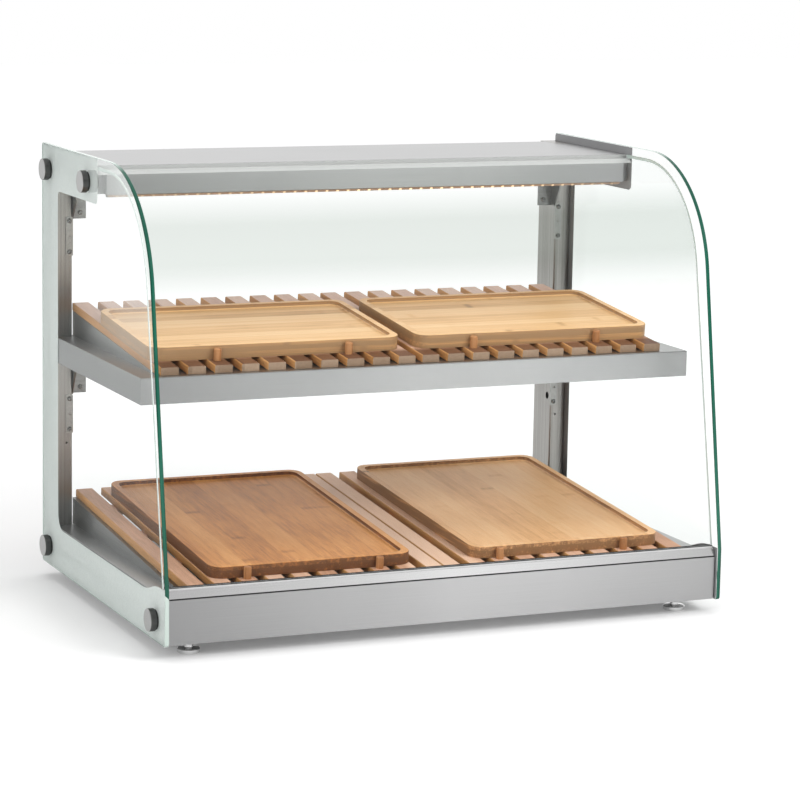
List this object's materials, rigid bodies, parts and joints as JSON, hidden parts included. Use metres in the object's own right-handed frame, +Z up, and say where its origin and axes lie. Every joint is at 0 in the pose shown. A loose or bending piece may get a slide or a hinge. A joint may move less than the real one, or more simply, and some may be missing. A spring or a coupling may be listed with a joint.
{
  "type": "counter-top display case",
  "caption": "Counter-top food display case with a bent glass front, clear side panes, sloping slatted shelves with bamboo boards, a lit canopy and an open back.",
  "frame": {"origin": "on the counter under the middle of the case", "axes": "+X to the right seen from the front, +Y to the open back, +Z up"},
  "size_m": [0.8812, 0.572, 0.658],
  "materials": {
    "clear_glass": "clear float glass with green edges",
    "border_print": "light grey enamel print",
    "cap_metal": "turned and brushed",
    "black_rubber": "matt",
    "foot_chrome": "plated",
    "zinc_hardware": "zinc plated",
    "post_steel": "brushed lengthwise",
    "brushed_sheet": "brushed stainless sheet",
    "bright_trim": "polished",
    "bamboo_upper": "oiled bamboo",
    "bamboo_lower": "oiled bamboo",
    "slat_wood": "oiled",
    "peg_wood": "oiled",
    "light_rail": "anodised",
    "light_board": "white solder mask",
    "light_chip": "lit, warm white",
    "driver_case": "moulded",
    "wire_jacket": "flexible jacket",
    "black_plastic": "moulded",
    "rocker_plastic": "moulded"
  },
  "bodies": {
    "case": {"base_deck": "brushed_sheet", "base_front_panel": "brushed_sheet", "base_pan": "brushed_sheet", "canopy_bracket_left": "brushed_sheet", "canopy_bracket_right": "brushed_sheet", "canopy_cover": "brushed_sheet", "canopy_liner": "brushed_sheet", "clamp_plates": "zinc_hardware", "foot_inserts": "zinc_hardware", "front_glass": "clear_glass", "glass_sill": "bright_trim", "led_board": "light_board", "led_chips": "light_chip", "led_driver": "driver_case", "led_profile": "light_rail", "lower_rail_left": "brushed_sheet", "lower_rail_middle": "brushed_sheet", "lower_rail_right": "brushed_sheet", "pan_screws": "zinc_hardware", "post_left": "post_steel", "post_right": "post_steel", "power_inlet": "black_plastic", "shelf_bracket_left": "brushed_sheet", "shelf_bracket_right": "brushed_sheet", "shelf_panel": "brushed_sheet", "side_border_left": "border_print", "side_border_right": "border_print", "side_glass_left": "clear_glass", "side_glass_right": "clear_glass", "sill_seals": "black_rubber", "standoff_caps_left": "cap_metal", "standoff_caps_right": "cap_metal", "standoff_gaskets": "black_rubber", "switch_bezel": "black_plastic", "upper_rail_left": "brushed_sheet", "upper_rail_middle": "brushed_sheet", "upper_rail_right": "brushed_sheet", "wiring": "wire_jacket"},
    "foot_front_left": {"foot_front_left": "foot_chrome"},
    "foot_front_right": {"foot_front_right": "foot_chrome"},
    "foot_rear_left": {"foot_rear_left": "foot_chrome"},
    "foot_rear_right": {"foot_rear_right": "foot_chrome"},
    "rack_upper_left": {"rack_upper_left_slats": "slat_wood", "rack_upper_left_battens": "slat_wood", "rack_upper_left_pegs": "peg_wood"},
    "rack_upper_right": {"rack_upper_right_slats": "slat_wood", "rack_upper_right_battens": "slat_wood", "rack_upper_right_pegs": "peg_wood"},
    "rack_lower_left": {"rack_lower_left_slats": "slat_wood", "rack_lower_left_battens": "slat_wood", "rack_lower_left_pegs": "peg_wood"},
    "rack_lower_right": {"rack_lower_right_slats": "slat_wood", "rack_lower_right_battens": "slat_wood", "rack_lower_right_pegs": "peg_wood"},
    "board_upper_left": {"board_upper_left": "bamboo_upper"},
    "board_upper_right": {"board_upper_right": "bamboo_upper"},
    "board_lower_left": {"board_lower_left": "bamboo_lower"},
    "board_lower_right": {"board_lower_right": "bamboo_lower"},
    "rocker": {"switch_rocker": "rocker_plastic"}
  },
  "joints": [
    {"name": "foot_front_left_thread", "type": "slide", "parent": "case", "child": "foot_front_left", "axis": [0, 0, -1], "range_m": [0, 0.01]},
    {"name": "foot_front_right_thread", "type": "slide", "parent": "case", "child": "foot_front_right", "axis": [0, 0, -1], "range_m": [0, 0.01]},
    {"name": "foot_rear_left_thread", "type": "slide", "parent": "case", "child": "foot_rear_left", "axis": [0, 0, -1], "range_m": [0, 0.01]},
    {"name": "foot_rear_right_thread", "type": "slide", "parent": "case", "child": "foot_rear_right", "axis": [0, 0, -1], "range_m": [0, 0.01]},
    {"name": "rack_upper_left_slide", "type": "slide", "parent": "case", "child": "rack_upper_left", "axis": [0, 0.9955, 0.0945], "range_m": [0, 0.4]},
    {"name": "rack_upper_right_slide", "type": "slide", "parent": "case", "child": "rack_upper_right", "axis": [0, 0.9955, 0.0945], "range_m": [0, 0.4]},
    {"name": "rack_lower_left_slide", "type": "slide", "parent": "case", "child": "rack_lower_left", "axis": [0, 0.9967, 0.0809], "range_m": [0, 0.4]},
    {"name": "rack_lower_right_slide", "type": "slide", "parent": "case", "child": "rack_lower_right", "axis": [0, 0.9967, 0.0809], "range_m": [0, 0.4]},
    {"name": "board_upper_left_slide", "type": "slide", "parent": "rack_upper_left", "child": "board_upper_left", "axis": [0, 0.9955, 0.0945], "range_m": [0, 0.25]},
    {"name": "board_upper_right_slide", "type": "slide", "parent": "rack_upper_right", "child": "board_upper_right", "axis": [0, 0.9955, 0.0945], "range_m": [0, 0.25]},
    {"name": "board_lower_left_slide", "type": "slide", "parent": "rack_lower_left", "child": "board_lower_left", "axis": [0, 0.9967, 0.0809], "range_m": [0, 0.3]},
    {"name": "board_lower_right_slide", "type": "slide", "parent": "rack_lower_right", "child": "board_lower_right", "axis": [0, 0.9967, 0.0809], "range_m": [0, 0.3]},
    {"name": "switch_rock", "type": "hinge", "parent": "case", "child": "rocker", "pos_m": [0.25, 0.283, 0.054], "axis": [-1, 0, 0], "range_deg": [0, 13.5]}
  ]
}
